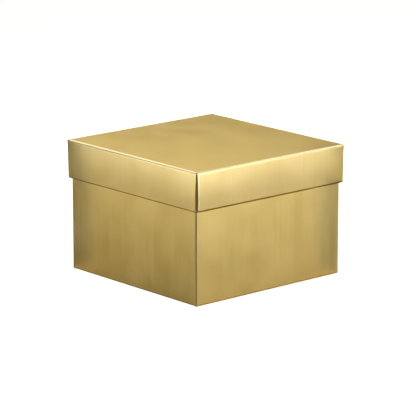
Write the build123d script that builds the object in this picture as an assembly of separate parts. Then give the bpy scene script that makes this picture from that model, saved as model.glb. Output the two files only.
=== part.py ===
from build123d import *
import os
from math import radians, tan

# Favor box: a square base and a lift-off lid, each folded from one die-cut sheet of board.
# The origin is at the centre of the base's underside, +Z up. The front and back walls carry the
# corner tabs, and the left and right end walls roll over those tabs and trap them.

# Driving dimensions, in millimetres and degrees
inside_length = 73.0          # clear inside of the base along X
inside_width = 73.0           # clear inside of the base along Y
total_height = 53.0           # underside of the base to the top of the lid
lid_skirt_height = 15.6       # top of the lid down to its rolled rim
board = 0.45                  # caliper of the folding board
ply_gap = 0.10                # air between two plies of one wall
lid_clearance = 0.20          # lid lining to base wall, on each side
seat_gap = 0.15               # base rim to the underside of the lid's top panel
crease_radius = 0.30          # inside radius of the creases round the floor and the lid's top
corner_crease_radius = 0.05   # inside radius of the upright creases that turn the tabs
panel_end_relief = 0.15       # cut end of an end wall, back from the side wall's face at the crease
panel_end_draft = 0.25        # narrowing of an end wall at each end, from the crease to its shoulder
rim_relief = 0.40             # height of the cut corner from an end wall's shoulder to its rolled rim
lining_end_gap = 0.20         # cut end of a lining to the ply that it stops against
lining_foot_gap = 0.30        # lower edge of a lining to the panel that it stands over
lining_draft = 0.80           # narrowing of a lining at each end, from the rim to its foot
base_tab_length = 24.0        # side wall's face to the free end of a base tab
lid_tab_length = 20.0         # skirt's face to the free end of a lid tab
base_tab_corner = 5.0         # rounding of a base tab's free corners
lid_tab_corner = 3.0          # rounding of a lid tab's free corners
tab_edge_angle = 6.0          # slope of a tab's upper and lower edges
tab_edge_clearance = 0.10     # upper edge of a tab at its crease to the rolled rim above it
tab_foot = 0.15               # lower edge of a tab at its crease, above the board that it stands over
tab_toe = 0.20                # how far the tab's upright crease reaches down past that edge

# Wall thicknesses and outer sizes that follow from the plies
side_wall = 2 * board + ply_gap
end_wall = 3 * board + 2 * ply_gap
base_length = inside_length + 2 * end_wall
base_width = inside_width + 2 * side_wall
base_height = total_height - board - seat_gap
lid_inside_length = base_length + 2 * lid_clearance
lid_inside_width = base_width + 2 * lid_clearance


def folded_section(reach, rise, inner_radius):
    """Section of a sheet that leaves the floor, turns up through a crease and runs on straight."""
    bend = inner_radius + board
    pivot = (reach - bend, bend)
    outline = Curve() + [
        CenterArc(pivot, bend, -90, 90),
        Line((reach, bend), (reach, rise)),
        Line((reach, rise), (reach - board, rise)),
        Line((reach - board, rise), (reach - board, bend)),
        CenterArc(pivot, inner_radius, 0, -90),
        Line((reach - bend, board), (reach - bend, 0)),
    ]
    return make_face(outline)


def rolled_section(reach, thickness, height, foot):
    """Section of a lining: half a turn over the rim, then straight down inside the wall."""
    roll = thickness / 2
    spring = height - roll
    inner_face = reach - thickness
    pivot = (reach - roll, spring)
    outline = Curve() + [
        CenterArc(pivot, roll, 0, 180),
        Line((inner_face, spring), (inner_face, foot)),
        Line((inner_face, foot), (inner_face + board, foot)),
        Line((inner_face + board, foot), (inner_face + board, spring)),
        CenterArc(pivot, roll - board, 180, -180),
        Line((reach - board, spring), (reach, spring)),
    ]
    return make_face(outline)


def die_cut(section, reach, right_edge):
    """Run a wall's section along Y and cut both ends to an edge line given as (Y, Z) points."""
    left_edge = [(-y, z) for y, z in reversed(right_edge)]
    blank = Polygon(*right_edge, *left_edge, align=None)
    longest = max(y for y, z in right_edge)
    panel = extrude(Plane.XZ * section, amount=longest, both=True)
    return panel & extrude(Plane.YZ * blank, amount=2 * reach, both=True)


def wall_and_lining(reach, thickness, height, wall_edge, lining_end):
    """Outer wall and inner lining of one side, both standing on the +X side of the tray."""
    spring = height - thickness / 2
    foot = board + lining_foot_gap
    lining_edge = [(lining_end - lining_draft, foot), (lining_end, spring), (lining_end, height)]
    wall = die_cut(folded_section(reach, spring, crease_radius), reach, wall_edge)
    lining = die_cut(rolled_section(reach, thickness, height, foot), reach, lining_edge)
    return wall, lining


def corner_tab(tab_face, side_face, height, length, corner):
    """Tab at the front right corner: the upright crease and the flap behind the end wall."""
    bend = corner_crease_radius + board
    low = board + tab_foot
    high = height - end_wall / 2 - tab_edge_clearance
    slope = (length - bend) * tan(radians(tab_edge_angle))
    outline = Polygon(
        (0, low - tab_toe),
        (bend, low),
        (length, low + slope),
        (length, high - slope),
        (bend, high),
        (0, high),
        align=None,
    )
    free_corners = outline.vertices().sort_by(Axis.X)[-2:]
    outline = fillet(free_corners, corner)
    front = Pos(0, -side_face, 0)
    strip = extrude(front * folded_section(tab_face, length, corner_crease_radius), amount=height)
    return strip & extrude(front * (Plane.YZ * outline), amount=2 * tab_face, both=True)


def folded_tray(inside_x, inside_y, height, tab_length, tab_corner):
    """One sheet folded into an open tray with its floor at z = 0, as panels by name."""
    reach_x = inside_x / 2 + end_wall
    reach_y = inside_y / 2 + side_wall
    bend = crease_radius + board
    tab_face = reach_x - board - ply_gap
    side_end = tab_face - corner_crease_radius - board
    side_lining_end = tab_face - board - lining_end_gap
    end_lining_end = inside_y / 2 - lining_end_gap
    side_spring = height - side_wall / 2
    end_spring = height - end_wall / 2
    end_foot = reach_y - panel_end_relief
    end_edge = [
        (end_foot, 0),
        (end_foot, bend),
        (end_foot - panel_end_draft, end_spring - rim_relief),
        (end_lining_end, end_spring),
    ]
    side_edge = [(side_end, 0), (side_end, side_spring)]

    on_floor = (Align.CENTER, Align.CENTER, Align.MIN)
    panels = {"floor": Box(2 * (reach_x - bend), 2 * (reach_y - bend), board, align=on_floor)}

    end = wall_and_lining(reach_x, end_wall, height, end_edge, end_lining_end)
    side = wall_and_lining(reach_y, side_wall, height, side_edge, side_lining_end)
    turns = {"right": (end, 0), "back": (side, 90), "left": (end, 180), "front": (side, 270)}
    for place, ((wall, lining), angle) in turns.items():
        panels[place + "_wall"] = Rot(0, 0, angle) * wall
        panels[place + "_lining"] = Rot(0, 0, angle) * lining

    tab = corner_tab(tab_face, reach_y, height, tab_length, tab_corner)
    back_tab = mirror(tab, about=Plane.XZ)
    panels["corner_tab_front_right"] = tab
    panels["corner_tab_front_left"] = mirror(tab, about=Plane.YZ)
    panels["corner_tab_back_right"] = back_tab
    panels["corner_tab_back_left"] = mirror(back_tab, about=Plane.YZ)
    return panels


def base_panels():
    """The base, open upwards."""
    tray = folded_tray(inside_length, inside_width, base_height, base_tab_length, base_tab_corner)
    return {"base_" + name: panel for name, panel in tray.items()}


def lid_panels():
    """The lid: a shallower tray turned over, with its floor as the top panel."""
    tray = folded_tray(
        lid_inside_length, lid_inside_width, lid_skirt_height, lid_tab_length, lid_tab_corner
    )
    names = {name: name.replace("floor", "top").replace("wall", "skirt") for name in tray}
    lift = Pos(0, 0, total_height)
    return {"lid_" + names[name]: lift * mirror(panel, about=Plane.XY) for name, panel in tray.items()}


def main():
    os.makedirs("parts", exist_ok=True)
    panels = base_panels() | lid_panels()
    for name, panel in panels.items():
        export_step(panel, "parts/" + name + ".step")
    print("base outside", base_length, "x", base_width, "lid inside", lid_inside_length, lid_inside_width)
    print(len(panels), "panels written")


main()
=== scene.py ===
# %% [markdown]
# # A gold favor box, folded sheet by sheet
# The real box is two die-cut sheets of card with a gold film on one face: a square base and a
# lid that lifts off. Each sheet is a floor, four walls that roll over into linings, and four corner
# tabs that the end walls trap. The sizes are settled already, so this lesson loads them as a
# fixed frame and then folds card around them.

# %% Load the fixed frame
from math import cos, pi, radians, sin, tan
from types import SimpleNamespace

import bmesh
import bpy
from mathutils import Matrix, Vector


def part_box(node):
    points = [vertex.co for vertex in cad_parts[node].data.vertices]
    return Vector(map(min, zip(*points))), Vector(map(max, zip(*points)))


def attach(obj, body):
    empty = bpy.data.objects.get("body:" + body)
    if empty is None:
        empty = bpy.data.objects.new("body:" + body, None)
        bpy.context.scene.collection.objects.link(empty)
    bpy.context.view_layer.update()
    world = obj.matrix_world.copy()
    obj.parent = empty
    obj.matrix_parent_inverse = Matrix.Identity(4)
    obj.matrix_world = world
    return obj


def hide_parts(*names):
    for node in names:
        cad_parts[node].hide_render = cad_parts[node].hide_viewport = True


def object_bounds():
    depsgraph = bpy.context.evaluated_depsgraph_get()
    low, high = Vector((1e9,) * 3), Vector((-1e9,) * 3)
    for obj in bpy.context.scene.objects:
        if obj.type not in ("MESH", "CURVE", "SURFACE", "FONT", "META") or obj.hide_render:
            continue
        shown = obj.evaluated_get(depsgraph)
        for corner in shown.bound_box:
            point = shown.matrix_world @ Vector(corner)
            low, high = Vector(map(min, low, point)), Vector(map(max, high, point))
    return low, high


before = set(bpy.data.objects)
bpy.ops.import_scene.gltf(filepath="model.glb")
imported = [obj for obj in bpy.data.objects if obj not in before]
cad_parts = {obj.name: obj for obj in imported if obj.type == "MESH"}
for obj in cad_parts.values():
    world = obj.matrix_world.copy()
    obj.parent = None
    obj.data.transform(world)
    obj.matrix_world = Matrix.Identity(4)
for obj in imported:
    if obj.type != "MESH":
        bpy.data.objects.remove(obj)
cad_low, cad_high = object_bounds()
box_middle = (cad_low + cad_high) / 2
print("frame:", len(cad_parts), "panels,", [round(1000 * s, 1) for s in cad_high - cad_low], "mm")

# %% [markdown]
# ## The camera
# The camera comes first, so that every later step can be judged in the final picture. It stands in
# front of the corner between the front and right walls, a little above the lid, with a long lens: the
# edges of the box run almost parallel, and only a far camera draws them so. The box is brought to its
# place in the picture by stepping the camera aside by a millimetre, which leaves the lens unshifted.

# %% Place the camera
MM = 0.001
IMAGE_WIDTH_PX = 416
SENSOR_WIDTH_MM = 36.0
VIEW_AZIMUTH = radians(48.78)
VIEW_ELEVATION = radians(13.88)
VIEW_DISTANCE = 1041.3 * MM
FOCAL_LENGTH_PX = 2609.0
STEP_RIGHT = 1.15 * MM
STEP_DOWN = 0.57 * MM
FARTHEST_SEEN = 20.0


def place_camera():
    """A long lens that looks at the middle of the box from the front right corner."""
    azimuth, elevation = VIEW_AZIMUTH, VIEW_ELEVATION
    back = Vector((sin(azimuth) * cos(elevation), -cos(azimuth) * cos(elevation), sin(elevation)))
    right = Vector((cos(azimuth), sin(azimuth), 0.0))
    up = back.cross(right)
    place = box_middle + VIEW_DISTANCE * back + STEP_RIGHT * right - STEP_DOWN * up
    bpy.ops.object.camera_add(location=place)
    camera = bpy.context.object
    camera.name = "photo_camera"
    camera.rotation_euler = (-back).to_track_quat("-Z", "Y").to_euler()
    camera.data.sensor_width = SENSOR_WIDTH_MM
    camera.data.lens = SENSOR_WIDTH_MM * FOCAL_LENGTH_PX / IMAGE_WIDTH_PX
    camera.data.clip_end = FARTHEST_SEEN
    bpy.context.scene.camera = camera
    return camera


camera = place_camera()
print("camera lens:", round(camera.data.lens, 1), "mm")

# %% [markdown]
# ## Reading the sizes of a tray
# Base and lid are the same fold pattern at two sizes: a tray. The base stands open upwards and the lid
# is a shallow tray turned over. Reading each tray's sizes from the frame, and working in the tray's
# own upright position, lets one set of folding steps make both. The walls will bulge a little, so
# they start that much inside the frame, and the finished box stays within it.

# %% A reader for one tray
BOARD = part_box("base_floor")[1].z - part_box("base_floor")[0].z
TAB_TOE = 0.2 * MM


def read_tray(prefix, wall_word, floor_word, tab_corner, bow, curl, end_draft, press):
    """Sizes of one tray, standing open upwards on z = 0, less the room that its walls bulge into."""
    top = cad_high.z
    turned_over = prefix == "lid"

    def span(name):
        """Lowest and highest corner of a panel, in the tray's upright position."""
        a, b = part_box(prefix + "_" + name)
        if not turned_over:
            return a, b
        return Vector((a.x, a.y, top - b.z)), Vector((b.x, b.y, top - a.z))

    end_wall, end_lining = span("right_" + wall_word), span("right_lining")
    side_wall, side_lining = span("back_" + wall_word), span("back_lining")
    tab, floor = span("corner_tab_front_right"), span(floor_word)
    return SimpleNamespace(
        prefix=prefix,
        wall_word=wall_word,
        floor_word=floor_word,
        top=top,
        turned_over=turned_over,
        reach_x=end_wall[1].x - bow,
        reach_y=side_wall[1].y - bow,
        height=side_lining[1].z,
        crease=end_wall[1].x - floor[1].x,
        end_thickness=end_lining[1].x - end_lining[0].x,
        side_thickness=side_lining[1].y - side_lining[0].y,
        end_foot=end_wall[1].y - bow,
        end_shoulder=end_wall[1].y - bow - end_draft,
        end_lining_end=end_lining[1].y - bow,
        side_end=side_wall[1].x - bow,
        side_lining_end=side_lining[1].x - bow,
        lining_foot=end_lining[0].z,
        tab_face=tab[1].x - bow,
        tab_low=tab[0].z + TAB_TOE,
        tab_high=tab[1].z,
        tab_length=tab[1].y - tab[0].y,
        tab_corner=tab_corner,
        bow=bow,
        curl=curl,
        press=press,
    )


print("card caliper:", round(1000 * BOARD, 2), "mm")

# %% [markdown]
# ## How far card strays from flat
# Folded card is never quite true. A wall bulges between its crease and its rim and curls in towards one
# corner. An end wall also narrows towards its rim, and on the lid its cut ends are pressed in. All of
# this is a fraction of a millimetre, but a film that mirrors the room shows it. The lid's walls stray
# more than the base's. The panels of the frame are flat, so these values are given here.

# %% Read both trays from the frame
base_tray = read_tray(
    "base", "wall", "floor", tab_corner=5.0 * MM,
    bow=0.04 * MM, curl=0.10 * MM, end_draft=0.05 * MM, press=0.0,
)
lid_tray = read_tray(
    "lid", "skirt", "top", tab_corner=3.0 * MM,
    bow=0.20 * MM, curl=0.34 * MM, end_draft=0.22 * MM, press=0.09 * MM,
)
for tray in (base_tray, lid_tray):
    print(tray.prefix, "tray:", round(2000 * tray.reach_x, 1), "x", round(2000 * tray.reach_y, 1), "mm")

# %% [markdown]
# ## Noise for the finishes
# Film and pulp are never even. A picture of each could be laid on the card, but noise in object
# coordinates needs no unwrapping and runs on across the folds without a seam. These helpers make the
# noise, blend two of them, and turn the result into a colour, a number or a fine relief.

# %% Node helpers
TONE_RANGE = (0.35, 0.65)
NUMBER_RANGE = (0.3, 0.7)


def new_material(name):
    """An empty node material with its shader."""
    material = bpy.data.materials.new(name)
    material.use_nodes = True
    tree = material.node_tree
    return material, tree, tree.nodes["Principled BSDF"]


def object_noise(tree, per_metre, stretch=(1.0, 1.0, 1.0), detail=3.0):
    """Noise in object coordinates, as many cells to the metre as asked, stretched along an axis."""
    place = tree.nodes.new("ShaderNodeTexCoord")
    mapping = tree.nodes.new("ShaderNodeMapping")
    mapping.inputs["Scale"].default_value = [per_metre * s for s in stretch]
    noise = tree.nodes.new("ShaderNodeTexNoise")
    noise.inputs["Scale"].default_value = 1.0
    noise.inputs["Detail"].default_value = detail
    tree.links.new(place.outputs["Object"], mapping.inputs["Vector"])
    tree.links.new(mapping.outputs["Vector"], noise.inputs["Vector"])
    return noise.outputs["Fac"]


def blend(tree, a, b):
    """Two numbers in equal parts."""
    mix = tree.nodes.new("ShaderNodeMix")
    mix.inputs["Factor"].default_value = 0.5
    tree.links.new(a, mix.inputs["A"])
    tree.links.new(b, mix.inputs["B"])
    return mix.outputs["Result"]


def ramp(tree, value, low, high):
    """A value spread between two colours, over the part of its range that is used."""
    node = tree.nodes.new("ShaderNodeValToRGB")
    for element, place, color in zip(node.color_ramp.elements, TONE_RANGE, (low, high)):
        element.position = place
        element.color = color
    tree.links.new(value, node.inputs["Fac"])
    return node.outputs["Color"]


def spread(tree, value, low, high):
    """A value moved from the part of its range that is used to another range of numbers."""
    node = tree.nodes.new("ShaderNodeMapRange")
    node.inputs["From Min"].default_value = NUMBER_RANGE[0]
    node.inputs["From Max"].default_value = NUMBER_RANGE[1]
    node.inputs["To Min"].default_value = low
    node.inputs["To Max"].default_value = high
    tree.links.new(value, node.inputs["Value"])
    return node.outputs["Result"]


def relief(tree, shader, value, depth, strength):
    """Fine relief on the surface, its depth in metres."""
    node = tree.nodes.new("ShaderNodeBump")
    node.inputs["Distance"].default_value = depth
    node.inputs["Strength"].default_value = strength
    tree.links.new(value, node.inputs["Height"])
    tree.links.new(node.outputs["Normal"], shader.inputs["Normal"])


print("finish helpers ready: noise, blend, ramp, spread, relief")

# %% [markdown]
# ## The gold film
# The card carries a metallised film with a satin face: it mirrors the room, but softly. A metallic
# shader with a middling roughness gives that. The film has faint streaks that run up the walls and a
# slow mottle where the glue under it is uneven, so two noises move its colour and roughness a
# little. Both sheets are one gold card, but the lid's film is a trace paler and the base's deeper, as
# painted light on the lid and painted shade on the base. The upturned part of a crease gets a pale
# film, a painted highlight. The tight roll of the lid's rim and the creases of its tabs get a brown
# film, painted shade. So these bends have films of their own.
# A value that is the same all over sits straight on the shader's socket.

# %% Gold film
# The lid's film (first two) is a trace paler and the base's (next two) deeper and more saturated, though both
# are one gold card: painted light on the lid, painted shade on the base.
GOLD_LIGHT = (0.850, 0.656, 0.248, 1.0)
GOLD_DEEP = (0.815, 0.620, 0.214, 1.0)
GOLD_BASE_SHADED_LIGHT = (0.850, 0.637, 0.210, 1.0)
GOLD_BASE_SHADED_DEEP = (0.815, 0.602, 0.180, 1.0)
# Pale film for the upturned part of each fold, the softened cuts and the pressed ends: a painted highlight.
GOLD_FOLD_HIGHLIGHT = (0.950, 0.860, 0.520, 1.0)
GOLD_FOLD_HIGHLIGHT_DEEP = (0.920, 0.820, 0.460, 1.0)
# Brown film for the roll of the lid's rim and the creases of its tabs: painted shade, the same gold as if in
# deep shadow.
GOLD_RIM_SHADE = (0.500, 0.320, 0.060, 1.0)
GOLD_RIM_SHADE_DEEP = (0.440, 0.275, 0.045, 1.0)
FOIL_ROUGHNESS = (0.30, 0.38)
FOIL_EDGE_TINT = (0.98, 0.86, 0.60, 1.0)
FOIL_COAT = 0.05
FOIL_COAT_ROUGHNESS = 0.16
FOIL_RELIEF = 0.02 * MM
FOIL_RELIEF_STRENGTH = 0.35
MOTTLE_PER_M = 90.0
STREAK_PER_M = 1300.0
STREAK_STRETCH = 0.02
GRAIN_PER_M = 2600.0


def gold_film(name, low, high):
    """Satin metallised film on card."""
    material, tree, shader = new_material(name)
    mottle = object_noise(tree, MOTTLE_PER_M)
    streak = object_noise(tree, STREAK_PER_M, (1.0, 1.0, STREAK_STRETCH))
    grain = object_noise(tree, GRAIN_PER_M)
    tone = blend(tree, mottle, streak)
    tree.links.new(ramp(tree, tone, low, high), shader.inputs["Base Color"])
    rough = spread(tree, tone, FOIL_ROUGHNESS[0], FOIL_ROUGHNESS[1])
    tree.links.new(rough, shader.inputs["Roughness"])
    relief(tree, shader, blend(tree, streak, grain), FOIL_RELIEF, FOIL_RELIEF_STRENGTH)
    shader.inputs["Metallic"].default_value = 1.0
    shader.inputs["Specular Tint"].default_value = FOIL_EDGE_TINT
    shader.inputs["Coat Weight"].default_value = FOIL_COAT
    shader.inputs["Coat Roughness"].default_value = FOIL_COAT_ROUGHNESS
    return material


gold_face = gold_film("gold_film", GOLD_DEEP, GOLD_LIGHT)
gold_base_shaded = gold_film("gold_film_shaded_copy_on_base", GOLD_BASE_SHADED_DEEP, GOLD_BASE_SHADED_LIGHT)
gold_crease_highlight = gold_film("gold_film_painted_highlight_at_folds", GOLD_FOLD_HIGHLIGHT_DEEP, GOLD_FOLD_HIGHLIGHT)
gold_rim_shade = gold_film("gold_film_painted_shade_at_rims", GOLD_RIM_SHADE_DEEP, GOLD_RIM_SHADE)
print("gold film:", gold_face.name, gold_base_shaded.name, gold_crease_highlight.name, gold_rim_shade.name)

# %% [markdown]
# ## Card back and cut edges
# The other face of the sheet is bare white board. Along every cut the core of the board shows. It is
# painted brown, as painted shade, so that the cut ends in the tight corner joints look shaded. Both are
# dull, with the fine fibres of pressed pulp. A sheet then has five places for a finish, its face, folds,
# rims, back and cuts, and a number on each face of a panel says which of them it wears.

# %% Bare board and the finishes of a sheet
BOARD_WHITE = (0.86, 0.84, 0.79, 1.0)
BOARD_GREY = (0.78, 0.76, 0.70, 1.0)
BOARD_ROUGHNESS = 0.9
# Brown for the cut core of the board: painted shade, so that cut ends look shaded in their tight joints.
CORE_SHADE = (0.42, 0.32, 0.15, 1.0)
CORE_SHADE_DEEP = (0.34, 0.26, 0.11, 1.0)
CORE_ROUGHNESS = 0.7
FIBRE_PER_M = 1800.0
FIBRE_DETAIL = 5.0
FIBRE_RELIEF = 0.03 * MM
FIBRE_RELIEF_STRENGTH = 0.3


def bare_board(name, low, high, roughness):
    """Uncoated pulp, dull and slightly fibrous."""
    material, tree, shader = new_material(name)
    fibre = object_noise(tree, FIBRE_PER_M, detail=FIBRE_DETAIL)
    tree.links.new(ramp(tree, fibre, low, high), shader.inputs["Base Color"])
    relief(tree, shader, fibre, FIBRE_RELIEF, FIBRE_RELIEF_STRENGTH)
    shader.inputs["Roughness"].default_value = roughness
    return material


board_back = bare_board("white_board_back", BOARD_GREY, BOARD_WHITE, BOARD_ROUGHNESS)
board_edge_shade = bare_board("board_edge_painted_shade", CORE_SHADE_DEEP, CORE_SHADE, CORE_ROUGHNESS)
FACE, FOLD_HIGHLIGHT, RIM, BACK, CUT = range(5)
# Films of each sheet by slot. The lid's rim film is painted shade, and so is the brown cut film of both
# sheets.
SHEET_MATERIALS = {
    "base": (gold_base_shaded, gold_crease_highlight, gold_base_shaded, board_back, board_edge_shade),
    "lid": (gold_face, gold_crease_highlight, gold_rim_shade, board_back, board_edge_shade),
}
print("board:", board_back.name, board_edge_shade.name)

# %% [markdown]
# ## A strip of flat card
# Every panel starts as a flat strip with no thickness, along the line where the die scores the sheet. A
# plane would do, but a grid brings the columns that a wall needs to curl at its end. The strip is
# left in edit mode, where the next steps pick its edges by their place.

# %% Start and end of a strip
COLUMNS = 40
NEAR = 0.004 * MM
WELD = 0.001 * MM


def start_strip(name, centre, size, turn, columns, rows=1):
    """A flat rectangle at its size and place, left in edit mode with nothing selected."""
    bpy.ops.object.select_all(action="DESELECT")
    bpy.ops.mesh.primitive_grid_add(
        x_subdivisions=rows, y_subdivisions=columns, size=1.0, location=centre, rotation=turn
    )
    strip = bpy.context.object
    strip.name = name
    strip.data.name = name
    strip.scale = (size[0], size[1], 1.0)
    bpy.ops.object.transform_apply(location=True, rotation=True, scale=True)
    bpy.ops.object.mode_set(mode="EDIT")
    bpy.ops.mesh.select_mode(type="EDGE")
    bpy.ops.mesh.select_all(action="DESELECT")
    return strip


def select_edges(strip, axis, value):
    """Select the edges that lie at one value of one axis."""
    bpy.ops.mesh.select_all(action="DESELECT")
    mesh = bmesh.from_edit_mesh(strip.data)
    for edge in mesh.edges:
        edge.select = all(abs(v.co[axis] - value) < NEAR for v in edge.verts)
    bmesh.update_edit_mesh(strip.data)


def leave_edit():
    """Weld what lies together and go back to object mode."""
    bpy.ops.mesh.select_all(action="SELECT")
    bpy.ops.mesh.remove_doubles(threshold=WELD)
    bpy.ops.object.mode_set(mode="OBJECT")


print("strip helpers ready:", COLUMNS, "columns to a wall")

# %% [markdown]
# ## Folding and pulling
# A crease is a spin of the strip's edge about the line that the card bends around, and a panel is an
# extrude of the edge that the spin leaves selected. Extruding in several steps gives the panel rows, so
# that it can bulge later, and scaling each row narrows the panel as the die cut does. A bevel along
# a sharp edge would also round a fold, but the spin keeps the exact radius.

# %% Fold an edge and pull a panel
CREASE_STEPS = 10
ROLL_STEPS = 18


def fold(pivot, axis, angle, steps):
    """Turn the selected edge about a line, leaving bent card behind it."""
    bpy.ops.mesh.spin(steps=steps, angle=angle, center=pivot, axis=axis)


def pull(move, rows, narrow_to=1.0):
    """Extrude the selected edge in rows, narrowing it along Y to a share of its length."""
    for row in range(rows):
        step = (1 + (narrow_to - 1) * (row + 1) / rows) / (1 + (narrow_to - 1) * row / rows)
        bpy.ops.mesh.extrude_region_move(TRANSFORM_OT_translate={"value": Vector(move) / rows})
        bpy.ops.transform.resize(value=(1.0, step, 1.0), center_override=(0.0, 0.0, 0.0))


print("steps in a crease:", CREASE_STEPS, "and in a rolled rim:", ROLL_STEPS)

# %% [markdown]
# ## Marking the cuts
# Where the die cuts, the edge of the card is soft to the touch. Where a panel only stops at a score line,
# the sheet goes on in the next piece and must not be softened. A bevel weight on the cut edges
# tells them apart. The end walls also get a few extra rows at their cut ends, by bisecting them.

# %% Mark the cut edges
RUNS_ACROSS = 0.8


def mark_cuts(strip, is_cut):
    """Weight the boundary edges that the die cuts, so that a later bevel softens only those."""
    bpy.ops.mesh.select_all(action="DESELECT")
    mesh = bmesh.from_edit_mesh(strip.data)
    for edge in mesh.edges:
        a, b = (v.co for v in edge.verts)
        edge.select = edge.is_boundary and is_cut(a, b)
    bmesh.update_edit_mesh(strip.data)
    bpy.ops.transform.edge_bevelweight(value=1.0)


def crosses_length(a, b):
    """True for an edge at the end of a strip, which runs up the panel and not along it."""
    return abs(a.y - b.y) < RUNS_ACROSS * (a - b).length


def add_rows_near_ends(end, spacing, count):
    """Cut the panel in edit mode across near both its ends, so that the ends can be pressed in."""
    for step in range(1, count + 1):
        for side in (-1.0, 1.0):
            bpy.ops.mesh.select_all(action="SELECT")
            place = side * (end - step * spacing)
            bpy.ops.mesh.bisect(plane_co=(0.0, place, 0.0), plane_no=(0.0, 1.0, 0.0))


print("cut helpers ready")

# %% [markdown]
# ## Bulge and curl
# A folded wall bulges outwards between crease and rim, and towards one of its corners it curls in, which
# turns its mirror to a darker part of the room. A lattice or a bend would do this by hand, but the amounts
# are so small that a short formula is easier to keep within the frame. The inner face of a
# lining does not curl, so that the lid still slides over the base.

# %% Lean of the walls
CURL_WIDTH = 10.0 * MM
CURL_GROWTH = 4.0 * MM
BULGE_MIDDLE = 0.78
BULGE_RIM = 0.4


def share_of(value, whole):
    """A value as a share of a whole, kept between 0 and 1."""
    return min(1.0, max(0.0, value / whole))


def lean(tray, along, height, corner, curled_end, share=1.0):
    """How far a wall stands out at a place: bulged between fold and rim, curled in at one end."""
    grown = share_of(height, CURL_GROWTH)
    near_end = share_of(curled_end * along - corner + CURL_WIDTH, CURL_WIDTH)
    curl = share * tray.curl * near_end ** 2 * grown ** 2 * (3.0 - 2.0 * grown)
    rise = share_of(height, tray.height)
    return tray.bow * (BULGE_MIDDLE * sin(pi * rise) + BULGE_RIM * rise) - curl


def lean_wall(strip, tray, reach, thickness, corner, curled_end):
    """Give a wall or lining on the +X side its lean; the inner face of a lining does not curl."""
    for vertex in strip.data.vertices:
        share = 1 - share_of(reach - vertex.co.x, thickness)
        vertex.co.x += lean(tray, vertex.co.y, vertex.co.z, corner, curled_end, share)


def lean_tab(strip, tray, curled):
    """Let a tab follow both walls that it joins."""
    end = 1.0 if curled else 0.0
    for vertex in strip.data.vertices:
        x, y, z = vertex.co
        vertex.co.x += lean(tray, y, z, tray.reach_y, -end)
        vertex.co.y -= lean(tray, x, z, tray.reach_x, end)


for tray in (base_tray, lid_tray):
    print(tray.prefix, "walls bulge", round(1000 * tray.bow, 2), "and curl", round(1000 * tray.curl, 2), "mm")

# %% [markdown]
# ## Pressed ends
# Beside the upright seam at the lid's corner the die has pressed the end of the wall inwards. Next to
# the seam a thin cream line, a painted highlight in the pale fold film, runs beside a brown wedge, painted
# shade in the tab's crease. Moving the rows that the bisects left near the end, and changing the finish
# of the last of them, makes that line.

# %% Press the cut ends of an end wall
PRESS_WIDTH = 0.6 * MM
PRESS_ROWS = 4
HIGHLIGHT_WIDTH = 0.45 * MM


def press_ends(strip, tray, foot_end, rim_end):
    """Press the cut ends of an end wall a little inwards, as the die leaves them, and give their last rows a
    painted highlight.
    """

    def to_cut(place):
        """How far a place lies from the cut end of the wall."""
        rise = share_of(place.z - tray.crease, tray.height - tray.crease)
        return foot_end + (rim_end - foot_end) * rise - abs(place.y)

    # Painted highlight: the last rows by the cut wear the pale fold film.
    for face in strip.data.polygons:
        if to_cut(face.center) < HIGHLIGHT_WIDTH and face.center.z > tray.crease:
            face.material_index = FOLD_HIGHLIGHT
    for vertex in strip.data.vertices:
        if vertex.co.z > tray.crease + NEAR:
            vertex.co.x -= tray.press * share_of(PRESS_WIDTH - to_cut(vertex.co), PRESS_WIDTH) ** 2


print("pressed ends:", round(1000 * PRESS_WIDTH, 2), "mm wide")

# %% [markdown]
# ## From skin to card
# A folded strip is still a skin. Its faces get their film: plain on the flats, another one in the
# bends. That is a painted highlight on a fold, and painted shade round the lid's rims. Solidify then
# gives the skin the caliper of the board, on the side away from the gold, and paints the back and the
# cut edges with the next finishes, the cuts in painted shade. A tiny bevel on the weighted edges takes
# the razor edge off the cuts and gives them the pale fold film, a painted highlight. Weighted normals
# keep the flat panels looking flat.

# %% Film, thickness and soft cuts
CUT_SOFTENING = 0.09 * MM
CUT_SEGMENTS = 3
FLAT_NORMAL = 0.9999
HIGHLIGHT_MIN_UP = 0.45
SMOOTH_ANGLE = radians(40)


def lay_film(strip, tray, bend):
    """Give the skin the sheet's materials, with one of its own on the faces of a bend: a painted highlight on
    the upturned part of a fold, painted shade round the lid's rims and tab creases.
    """
    for material in SHEET_MATERIALS[tray.prefix]:
        strip.data.materials.append(material)
    for face in strip.data.polygons:
        flat = max(abs(c) for c in face.normal) > FLAT_NORMAL
        # Only the faces of a fold that turn upwards wear the pale film, so the painted highlight lies along
        # the top of the fold.
        steep = bend == FOLD_HIGHLIGHT and abs(face.normal.z) < HIGHLIGHT_MIN_UP
        face.material_index = FACE if flat or steep else bend


def apply_modifier(piece, kind, **settings):
    """Add a modifier, set it and apply it."""
    bpy.ops.object.modifier_add(type=kind)
    modifier = piece.modifiers[-1]
    for key, value in settings.items():
        setattr(modifier, key, value)
    bpy.ops.object.modifier_apply(modifier=modifier.name)


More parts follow.
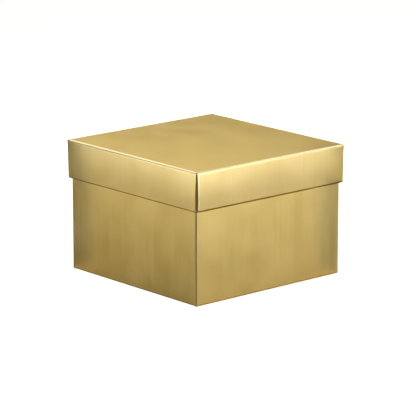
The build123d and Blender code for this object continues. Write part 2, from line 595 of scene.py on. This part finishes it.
def make_card(strip, gold_side):
    """Turn a folded skin into card, with its gold face on the side of the given direction."""
    facing = max((face.normal.dot(Vector(gold_side)) for face in strip.data.polygons), key=abs)
    if facing < 0:
        strip.data.flip_normals()
    # The rim faces that Solidify makes at the cuts wear the brown cut film: painted shade.
    apply_modifier(
        strip, "SOLIDIFY", thickness=BOARD, offset=-1.0, use_even_offset=True,
        material_offset=BACK, material_offset_rim=CUT,
    )
    # The softened cuts wear the pale fold film: a painted highlight along each cut.
    apply_modifier(
        strip, "BEVEL", width=CUT_SOFTENING, segments=CUT_SEGMENTS, limit_method="WEIGHT", material=FOLD_HIGHLIGHT,
    )
    bpy.ops.object.shade_smooth_by_angle(angle=SMOOTH_ANGLE)
    apply_modifier(strip, "WEIGHTED_NORMAL", keep_sharp=True)
    return strip


print("cuts softened by", round(1000 * CUT_SOFTENING, 2), "mm")

# %% [markdown]
# ## A wall
# All panels are made on the +X side of the tray, where X points out of the box. A wall lies flat for a
# short flange, turns up through its crease and stops just below the rim. Only the end walls have cut
# ends: a side wall runs on into the corner tabs.

# %% Fold a wall
FLANGE = 0.4 * MM
WALL_ROWS = 12
Y_AXIS = (0.0, 1.0, 0.0)


def fold_wall(name, tray, reach, thickness, foot_end, rim_end, corner, curled_end):
    """Outer wall: flange, crease and upright panel, up to the height where its lining starts."""
    bend = tray.crease
    top = tray.height - thickness / 2 - FLANGE
    strip = start_strip(
        name, (reach - bend - FLANGE / 2, 0.0, 0.0), (FLANGE, 2 * foot_end), (0.0, 0.0, 0.0), COLUMNS
    )
    select_edges(strip, 0, reach - bend)
    fold((reach - bend, 0.0, bend), Y_AXIS, pi / 2, CREASE_STEPS)
    pull((0.0, 0.0, top - bend), WALL_ROWS, rim_end / foot_end)
    ends_are_cut = rim_end < foot_end
    if ends_are_cut:
        add_rows_near_ends(rim_end, PRESS_WIDTH / PRESS_ROWS, PRESS_ROWS)
        mark_cuts(strip, crosses_length)
    leave_edit()
    lay_film(strip, tray, FOLD_HIGHLIGHT)
    if ends_are_cut and tray.press > 0.0:
        press_ends(strip, tray, foot_end, rim_end)
    lean_wall(strip, tray, reach, thickness, corner, curled_end)
    return make_card(strip, (1, 0, 0))


print("wall maker ready:", WALL_ROWS, "rows")

# %% [markdown]
# ## A lining
# The lining is the rest of the same wall: it starts on the wall's face, rolls half a turn over the rim and
# runs down inside. It narrows on its way over the rim and further down, so that it can be
# pushed between its neighbours. Its ends and its foot are cut.

# %% Fold a lining
LINING_DRAFT = 0.8 * MM


def fold_lining(name, tray, reach, thickness, rim_end, lining_end, corner, curled_end):
    """Lining: flange on the wall's face, half a turn over the rim and the narrower inner panel."""
    spring = tray.height - thickness / 2
    middle = reach - thickness / 2
    strip = start_strip(
        name, (reach, 0.0, spring - FLANGE / 2), (FLANGE, 2 * rim_end), (0.0, pi / 2, 0.0), COLUMNS
    )
    select_edges(strip, 2, spring)
    fold((middle, 0.0, spring), Y_AXIS, pi, ROLL_STEPS)
    mesh = bmesh.from_edit_mesh(strip.data)
    for vertex in mesh.verts:
        vertex.co.y *= 1 - (1 - lining_end / rim_end) * share_of(middle - vertex.co.x, thickness / 2)
    bmesh.update_edit_mesh(strip.data)
    pull((0.0, 0.0, tray.lining_foot - spring), WALL_ROWS, 1 - LINING_DRAFT / lining_end)
    mark_cuts(strip, lambda a, b: crosses_length(a, b) or max(a.z, b.z) < tray.lining_foot + NEAR)
    leave_edit()
    # On the lid the roll over the rim wears the brown rim film: painted shade.
    lay_film(strip, tray, RIM)
    lean_wall(strip, tray, reach, thickness, corner, curled_end)
    return make_card(strip, (0, 0, 1))


print("lining maker ready, narrowed by", round(1000 * LINING_DRAFT, 2), "mm at each end")

# %% [markdown]
# ## A corner tab
# The tab is a flap of the side wall that turns the corner and is trapped between the end wall and its
# lining. It starts as a flat flap behind the end wall, is narrowed and rounded at its free end, and turns
# through the upright crease to meet the side wall. The crease has a small toe that reaches down to
# the floor's crease and closes the corner.

# %% Fold a corner tab
TAB_EDGE_ANGLE = radians(6.0)
TAB_COLUMNS = 4
TALL_TAB = 20.0 * MM
TALL_TAB_ROWS = 6
LOW_TAB_ROWS = 2
TAB_CORNER_STEPS = 6
Z_AXIS = (0.0, 0.0, 1.0)


def shape_flap(strip, tray, crease_y, free_y, middle, height):
    """Slope the upper and lower edge of a flap and round its free corners."""
    mesh = bmesh.from_edit_mesh(strip.data)
    for vertex in mesh.verts:
        inset = (vertex.co.y - crease_y) * tan(TAB_EDGE_ANGLE)
        vertex.co.z = middle + (vertex.co.z - middle) * (1 - 2 * inset / height)
    bpy.ops.mesh.select_mode(type="VERT")
    for vertex in mesh.verts:
        vertex.select = vertex.co.y > free_y - NEAR and len(vertex.link_edges) == 2
    bmesh.update_edit_mesh(strip.data)
    bpy.ops.mesh.bevel(affect="VERTICES", offset=tray.tab_corner, segments=TAB_CORNER_STEPS)
    bpy.ops.mesh.select_mode(type="EDGE")


def fold_tab(name, tray, curled):
    """Corner tab at the front right: flap behind the end wall and the upright crease."""
    bend = tray.tab_face - tray.side_end
    middle = (tray.tab_low + tray.tab_high) / 2
    height = tray.tab_high - tray.tab_low
    crease_y = -tray.reach_y + bend
    free_y = -tray.reach_y + tray.tab_length
    strip = start_strip(
        name, (tray.tab_face, (crease_y + free_y) / 2, middle), (height, free_y - crease_y),
        (0.0, pi / 2, 0.0), TAB_COLUMNS, TALL_TAB_ROWS if height > TALL_TAB else LOW_TAB_ROWS,
    )
    shape_flap(strip, tray, crease_y, free_y, middle, height)
    select_edges(strip, 1, crease_y)
    fold((tray.side_end, crease_y, 0.0), Z_AXIS, pi / 2, CREASE_STEPS)
    mark_cuts(strip, lambda a, b: max(a.x, b.x) > tray.side_end + NEAR)
    mesh = bmesh.from_edit_mesh(strip.data)
    for vertex in mesh.verts:
        if vertex.co.y < crease_y and vertex.co.z < tray.tab_low + NEAR:
            vertex.co.z -= TAB_TOE * (crease_y - vertex.co.y) / bend
    bmesh.update_edit_mesh(strip.data)
    leave_edit()
    # On the lid the tab's crease wears the brown rim film: painted shade for the gap at the corner.
    lay_film(strip, tray, RIM)
    lean_tab(strip, tray, curled)
    return make_card(strip, (1, 0, 0))


for tray in (base_tray, lid_tray):
    print(tray.prefix, "tab:", round(1000 * tray.tab_length, 1), "mm long")

# %% [markdown]
# ## The flat panel
# The floor of the base and the top of the lid are the flat panel between the four creases. It is a grid
# that gets its thickness and nothing else, because everything round it has been folded already.

# %% Make the flat panel
FLOOR_CELLS = 8


def fold_floor(name, tray):
    """The flat panel between the four creases."""
    size = (2 * (tray.reach_x - tray.crease - FLANGE), 2 * (tray.reach_y - tray.crease - FLANGE))
    strip = start_strip(name, (0.0, 0.0, 0.0), size, (0.0, 0.0, 0.0), FLOOR_CELLS, FLOOR_CELLS)
    leave_edit()
    lay_film(strip, tray, FACE)
    return make_card(strip, (0, 0, -1))


print("flat panel ready:", FLOOR_CELLS, "cells each way")

# %% [markdown]
# ## Putting a panel in its place
# A panel is turned or mirrored to its side of the tray. A mirror turns a mesh inside out, so its normals
# are flipped back. For the lid the tray is then turned over about the X axis and lifted. Every
# piece ends at the origin, unturned, with its place in its mesh, rides on its body and stands for the
# panel of the frame that has its name.

# %% Place and copy panels
def pick(piece):
    """Make one piece the only one that operators act on."""
    bpy.ops.object.select_all(action="DESELECT")
    piece.select_set(True)
    bpy.context.view_layer.objects.active = piece


def settle(piece, tray, node, turn=0.0, mirror=(1.0, 1.0, 1.0)):
    """Turn a panel to its place, put it on the right tray and let it stand for its node."""
    pick(piece)
    piece.scale = mirror
    piece.rotation_euler = (0.0, 0.0, turn)
    bpy.ops.object.transform_apply(location=True, rotation=True, scale=True)
    if mirror[0] * mirror[1] < 0:
        piece.data.flip_normals()
    if tray.turned_over:
        piece.rotation_euler = (pi, 0.0, 0.0)
        piece.location = (0.0, 0.0, tray.top)
        bpy.ops.object.transform_apply(location=True, rotation=True, scale=True)
    piece.name = node + "_card"
    piece.data.name = piece.name
    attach(piece, tray.prefix)
    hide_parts(node)
    return piece


def copy_of(piece):
    """A copy with its own mesh."""
    pick(piece)
    bpy.ops.object.duplicate()
    return bpy.context.object


print("lid lifted to", round(1000 * lid_tray.top, 1), "mm when it is turned over")

# %% [markdown]
# ## Setting up the box
# Opposite walls are alike, so each is folded once, copied, and the copy is turned to its place. Walls curl
# at the front left and back right corners only, so there are two tabs, one for those corners and one for
# the other two, and each is copied once and mirrored. The rims of the side walls reach a little
# past the walls' own ends, to meet the end walls' rims at the corner.

# %% Set up both trays
QUARTER = pi / 2
RIM_OVERLAP = 0.4 * MM


def fold_walls(tray):
    """The four kinds of upright panel of a tray, each with its word and the sides that it goes to."""
    front, back = ("back", "front") if tray.turned_over else ("front", "back")
    ends, sides = (("right", 0), ("left", 2)), ((back, 1), (front, 3))
    wall_word, lining_word = "_" + tray.wall_word, "_lining"
    x, y = tray.reach_x, tray.reach_y
    end_rim, side_end = tray.end_shoulder, tray.side_end
    side_rim = side_end + RIM_OVERLAP
    curled = -1.0 if tray.turned_over else 1.0
    end = fold_wall("end_wall", tray, x, tray.end_thickness, tray.end_foot, end_rim, y, curled)
    end_lining = fold_lining(
        "end_lining", tray, x, tray.end_thickness, end_rim, tray.end_lining_end, y, curled
    )
    side = fold_wall("side_wall", tray, y, tray.side_thickness, side_end, side_end, x, -curled)
    side_lining = fold_lining(
        "side_lining", tray, y, tray.side_thickness, side_rim, tray.side_lining_end, x, -curled
    )
    return (
        (end, wall_word, ends), (end_lining, lining_word, ends),
        (side, wall_word, sides), (side_lining, lining_word, sides),
    )


def place_tabs(tray, near_tab, cross_tab):
    """Copy the two tabs of a tray and place one at each of its corners."""
    front, back = ("back", "front") if tray.turned_over else ("front", "back")
    pieces = []
    for tab, place, mirror in (
        (copy_of(cross_tab), front + "_left", (-1.0, 1.0, 1.0)),
        (cross_tab, back + "_right", (1.0, -1.0, 1.0)),
        (copy_of(near_tab), back + "_left", (-1.0, -1.0, 1.0)),
        (near_tab, front + "_right", (1.0, 1.0, 1.0)),
    ):
        pieces.append(settle(tab, tray, tray.prefix + "_corner_tab_" + place, mirror=mirror))
    return pieces


def set_up(tray):
    """Fold and place the thirteen panels of a tray."""
    walls = fold_walls(tray)
    near_tab = fold_tab("near_tab", tray, curled=tray.turned_over)
    cross_tab = fold_tab("cross_tab", tray, curled=not tray.turned_over)
    pieces = []
    for panel, word, sides in walls:
        for piece, (side, quarters) in zip((copy_of(panel), panel), sides):
            pieces.append(settle(piece, tray, tray.prefix + "_" + side + word, turn=quarters * QUARTER))
    pieces += place_tabs(tray, near_tab, cross_tab)
    floor = fold_floor("flat_panel", tray)
    pieces.append(settle(floor, tray, tray.prefix + "_" + tray.floor_word))
    return pieces


for tray in (base_tray, lid_tray):
    made = set_up(tray)
    faces = sum(len(piece.data.polygons) for piece in made)
    print(tray.prefix, "set up:", len(made), "panels,", faces, "faces")

# %% [markdown]
# ## A white floor
# The box stands on cream paper, which gives the foot of its walls a warm reflection. The paper is lit like
# any other, so the box keeps its shadow, and on top of that the camera sees a plain white glow,
# which lifts the paper to the white of the picture. Metal shows its surroundings, so a little of that
# glow is in its reflections too.

# %% Paper floor
FLOOR_SIZE = 6.0
FLOOR_DROP = 0.05 * MM
FLOOR_PAPER = (0.86, 0.74, 0.37, 1.0)
FLOOR_GLOW_TO_CAMERA = 0.95
FLOOR_GLOW_IN_METAL = 0.02
WHITE = (1.0, 1.0, 1.0, 1.0)


def glow(tree, to_camera, in_reflections):
    """A strength that differs by the ray that asks: the camera's, or one from metal or glass."""
    path = tree.nodes.new("ShaderNodeLightPath")
    total = None
    for ray, share in (
        ("Is Camera Ray", to_camera),
        ("Is Glossy Ray", in_reflections),
        ("Is Transmission Ray", in_reflections),
    ):
        part = tree.nodes.new("ShaderNodeMath")
        part.operation = "MULTIPLY_ADD"
        part.inputs[1].default_value = share
        part.inputs[2].default_value = 0.0
        tree.links.new(path.outputs[ray], part.inputs[0])
        if total is not None:
            tree.links.new(total, part.inputs[2])
        total = part.outputs[0]
    return total


def dull_material(name, color):
    """A finish with no gloss at all, for things of the stage."""
    material, tree, shader = new_material(name)
    shader.inputs["Base Color"].default_value = color
    shader.inputs["Roughness"].default_value = 1.0
    shader.inputs["Specular IOR Level"].default_value = 0.0
    return material, tree, shader


def paper_floor():
    """A wide sheet of paper under the box, white to the camera."""
    bpy.ops.object.select_all(action="DESELECT")
    bpy.ops.mesh.primitive_plane_add(size=FLOOR_SIZE, location=(0.0, 0.0, -FLOOR_DROP))
    floor = bpy.context.object
    floor.name = "paper_floor"
    material, tree, shader = dull_material("paper_floor", FLOOR_PAPER)
    shader.inputs["Emission Color"].default_value = WHITE
    strength = glow(tree, FLOOR_GLOW_TO_CAMERA, FLOOR_GLOW_IN_METAL)
    tree.links.new(strength, shader.inputs["Emission Strength"])
    floor.data.materials.append(material)
    return floor


print(paper_floor().name, FLOOR_SIZE, "m wide")

# %% [markdown]
# ## A pale room
# Past the floor's edge lies the room. It is treated as the floor is: white where the camera looks at it, and
# a dim even light to everything else, so that no part of the box falls quite black.

# %% Room light
ROOM_LIGHT = 0.03
ROOM_WHITE = 0.96


def pale_room():
    """A dim even light from all round, white where the camera looks past the floor."""
    world = bpy.data.worlds.new("pale_room")
    bpy.context.scene.world = world
    world.use_nodes = True
    tree = world.node_tree
    light = tree.nodes["Background"]
    light.inputs["Color"].default_value = WHITE
    level = tree.nodes.new("ShaderNodeMath")
    level.operation = "ADD"
    level.inputs[1].default_value = ROOM_LIGHT
    tree.links.new(glow(tree, ROOM_WHITE - ROOM_LIGHT, 0.0), level.inputs[0])
    tree.links.new(level.outputs[0], light.inputs["Strength"])
    return world


print(pale_room().name, "at", ROOM_LIGHT)

# %% [markdown]
# ## Black nets at the ends of the walls
# Shiny things get their dark edges from something black beside them. On this box the outer ends of the two
# walls in view are dark, the left one over its whole height and the right one below the lid. A black
# card on the floor would do it too, but it shows again in the walls at the back. A small upright net
# beside each end dims only what that end mirrors. A net lets part of the light through, the camera does
# not see it and it throws no shadow.

# %% Stand the nets
NET_BLACK = (0.02, 0.02, 0.02, 1.0)
NET_SHADE = 0.6
NET_DEPTH = 11.0 * MM
NET_GAP = 0.3 * MM


def black_net(name, place, size, turn):
    """An upright black net that dims what one end of a wall mirrors, unseen by the camera."""
    bpy.ops.object.select_all(action="DESELECT")
    bpy.ops.mesh.primitive_plane_add(size=1.0, location=place, rotation=turn)
    net = bpy.context.object
    net.name = name
    net.scale = (size[0], size[1], 1.0)
    material, tree, shader = dull_material(name, NET_BLACK)
    shader.inputs["Alpha"].default_value = NET_SHADE
    net.data.materials.append(material)
    net.visible_camera = False
    net.visible_shadow = False
    net.visible_diffuse = False
    return net


box_height = cad_high.z
base_height = cad_high.z - lid_tray.height
left_place = (cad_low.x - NET_GAP, cad_low.y - NET_DEPTH / 2, box_height / 2)
right_place = (cad_high.x + NET_DEPTH / 2, cad_high.y + NET_GAP, base_height / 2)
for net in (
    black_net("left_black_net", left_place, (box_height, NET_DEPTH), (0.0, pi / 2, 0.0)),
    black_net("right_black_net", right_place, (NET_DEPTH, base_height), (pi / 2, 0.0, 0.0)),
):
    print(net.name, [round(1000 * s, 1) for s in net.scale[:2]], "mm")

# %% [markdown]
# ## Soft lamps round the box
# A satin wall seen from above mirrors the floor, and its broad sheen reaches a little past the horizon. Two
# low, cool softboxes, right and front left, therefore do most of the work: they brighten the
# paper far from the box more than near it, so each wall grows lighter from its foot to the lid. Three
# panels hung behind the box are what its top and its folds mirror, two higher ones fill the walls, and
# a wide one on the camera's side serves the views from behind. Each lamp is placed by its
# direction and distance from the box, and its glow is given so that 1 is white.

# %% Lamps
LAMP_PLAIN = (1.00, 1.00, 1.05)
LAMP_COOL = (0.97, 1.04, 1.48)


def soft_lamp(name, azimuth, elevation, distance, width, height, brightness, color=LAMP_PLAIN):
    """A softbox that faces the box from a compass direction, counted from +X towards +Y in degrees."""
    turn, rise = radians(azimuth), radians(elevation)
    direction = Vector((cos(turn) * cos(rise), sin(turn) * cos(rise), sin(rise)))
    bpy.ops.object.light_add(type="AREA", location=box_middle + distance * direction)
    lamp = bpy.context.object
    lamp.name = name
    lamp.rotation_euler = (-direction).to_track_quat("-Z", "Y").to_euler()
    lamp.visible_camera = False
    lamp.data.shape = "RECTANGLE"
    lamp.data.size = width
    lamp.data.size_y = height
    lamp.data.color = color
    lamp.data.energy = brightness * pi * width * height
    return lamp


for lamp in (
    soft_lamp("right_softbox", 25, 6, 0.90, 0.32, 0.16, 20.0, LAMP_COOL),
    soft_lamp("front_left_softbox", 241, 5, 0.50, 0.20, 0.08, 12.6, LAMP_COOL),
    soft_lamp("hung_right_panel", 105, 46, 0.42, 0.26, 0.14, 1.40),
    soft_lamp("hung_back_panel", 147, 30, 0.42, 0.26, 0.10, 2.20),
    soft_lamp("hung_left_panel", 174, 45, 0.42, 0.26, 0.14, 2.15),
    soft_lamp("high_right_panel", 60, 40, 0.60, 0.30, 0.30, 1.75),
    soft_lamp("high_left_panel", 205, 32, 0.60, 0.30, 0.30, 0.25),
    soft_lamp("camera_side_panel", 320, 20, 1.40, 0.90, 0.50, 0.80),
):
    print(lamp.name, round(lamp.data.energy, 2), "W")
bpy.context.scene.view_settings.view_transform = "Standard"
